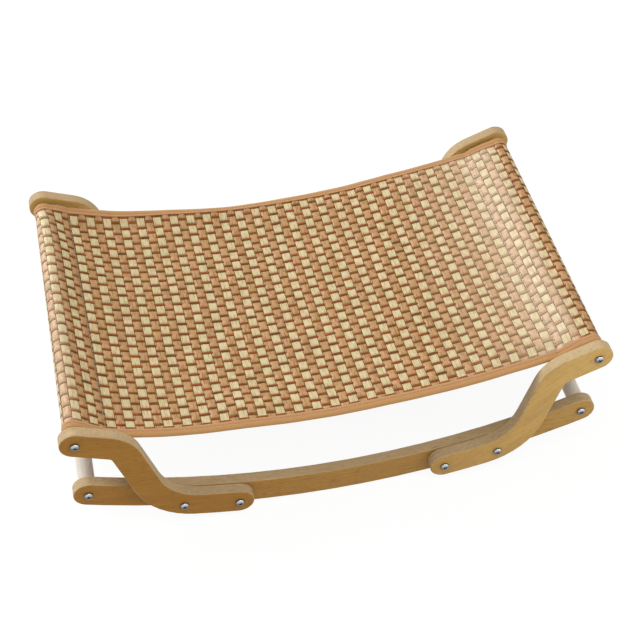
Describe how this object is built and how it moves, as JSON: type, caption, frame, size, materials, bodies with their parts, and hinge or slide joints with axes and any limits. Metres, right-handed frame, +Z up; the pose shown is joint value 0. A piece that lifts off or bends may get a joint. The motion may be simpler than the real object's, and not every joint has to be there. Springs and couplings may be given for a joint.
{
  "type": "rocking cat bed with woven sling",
  "caption": "Low wooden rocking bed for a cat: a woven mat hangs between dowels on S-shaped arms over curved rocker rails.",
  "frame": {"origin": "on the floor in the middle of the bed, where both rocker rails touch it at rest", "axes": "+X along the bed to the right-hand top dowel, +Y from front to back, +Z up"},
  "size_m": [0.529, 0.3566, 0.1572],
  "materials": {
    "board_wood": "golden brown beech board with a satin varnish",
    "dowel_wood": "pale turned beech, lightly sealed",
    "screw_steel": "bright zinc-plated pan head",
    "insert_metal": "plain zinc-plated threaded sleeve",
    "woven_strip": "basket weave of cream and tan strips with thin dark brown cross strips, matt with a faint sheen",
    "binding_tape": "folded tan cotton tape with one row of stitches",
    "seam_thread": "pale twisted sewing thread"
  },
  "bodies": {
    "root": {"back_binding": "binding_tape", "back_left_arm": "board_wood", "back_rail": "board_wood", "back_right_arm": "board_wood", "front_binding": "binding_tape", "front_left_arm": "board_wood", "front_rail": "board_wood", "front_right_arm": "board_wood", "insert_back_left_base": "insert_metal", "insert_back_left_foot_inner": "insert_metal", "insert_back_left_foot_outer": "insert_metal", "insert_back_left_top": "insert_metal", "insert_back_right_base": "insert_metal", "insert_back_right_foot_inner": "insert_metal", "insert_back_right_foot_outer": "insert_metal", "insert_back_right_top": "insert_metal", "insert_front_left_base": "insert_metal", "insert_front_left_foot_inner": "insert_metal", "insert_front_left_foot_outer": "insert_metal", "insert_front_left_top": "insert_metal", "insert_front_right_base": "insert_metal", "insert_front_right_foot_inner": "insert_metal", "insert_front_right_foot_outer": "insert_metal", "insert_front_right_top": "insert_metal", "left_base_dowel": "dowel_wood", "left_seam_thread": "seam_thread", "left_top_dowel": "dowel_wood", "right_base_dowel": "dowel_wood", "right_seam_thread": "seam_thread", "right_top_dowel": "dowel_wood", "screw_back_left_base": "screw_steel", "screw_back_left_foot_inner": "screw_steel", "screw_back_left_foot_outer": "screw_steel", "screw_back_left_top": "screw_steel", "screw_back_right_base": "screw_steel", "screw_back_right_foot_inner": "screw_steel", "screw_back_right_foot_outer": "screw_steel", "screw_back_right_top": "screw_steel", "screw_front_left_base": "screw_steel", "screw_front_left_foot_inner": "screw_steel", "screw_front_left_foot_outer": "screw_steel", "screw_front_left_top": "screw_steel", "screw_front_right_base": "screw_steel", "screw_front_right_foot_inner": "screw_steel", "screw_front_right_foot_outer": "screw_steel", "screw_front_right_top": "screw_steel", "woven_mat": "woven_strip"}
  },
  "joints": []
}
